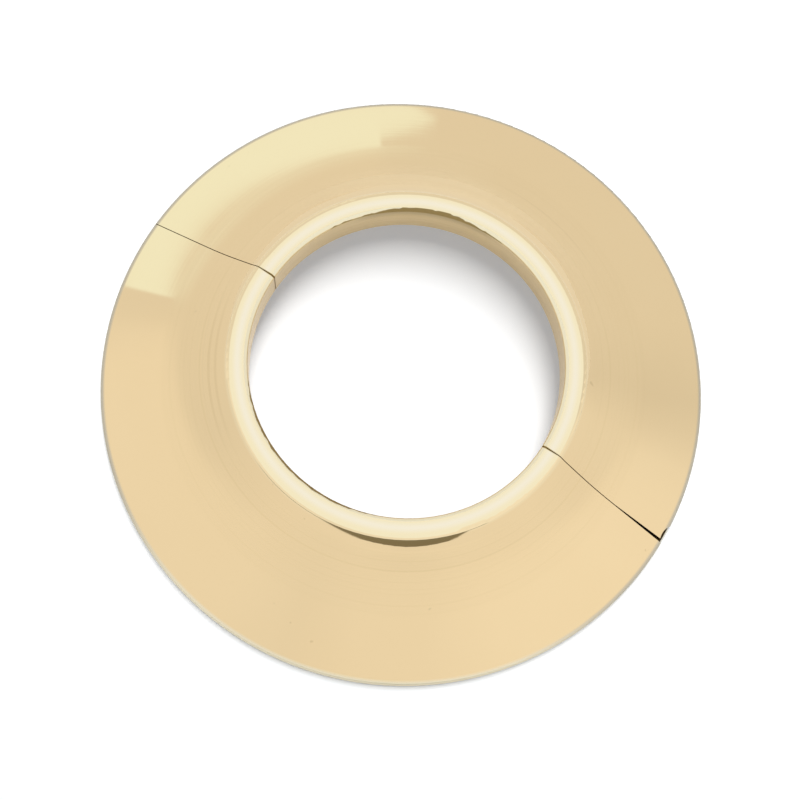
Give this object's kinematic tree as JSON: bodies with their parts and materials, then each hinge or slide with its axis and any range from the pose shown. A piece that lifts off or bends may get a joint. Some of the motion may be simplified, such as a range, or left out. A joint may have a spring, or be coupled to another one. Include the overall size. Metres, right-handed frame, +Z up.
{
  "type": "radiator pipe collar",
  "caption": "Round polished brass floor collar that hinges open and snaps shut round a radiator pipe, with a conical flange, a flat lip and a plain bore.",
  "frame": {"origin": "on the pipe's axis, at the flat face that rests on the floor", "axes": "+Z up the pipe's axis away from the floor, X along the split between the halves with the hinge at +X and the catch at -X, front half at -Y"},
  "size_m": [0.085, 0.085, 0.0118],
  "materials": {
    "polished_brass": "cast, turned and polished, unlacquered",
    "pin_brass": "drawn wire, dull",
    "spring_brass": "rolled strip, satin"
  },
  "bodies": {
    "front": {"front_half": "polished_brass", "catch_spring": "spring_brass", "catch_rivets": "pin_brass"},
    "rear": {"rear_half": "polished_brass", "hinge_pin": "pin_brass"}
  },
  "joints": [
    {"name": "hinge", "type": "hinge", "parent": "front", "child": "rear", "pos_m": [0.04125, 0.00175, 0], "axis": [0, 0, -1], "range_deg": [0, 85]}
  ]
}
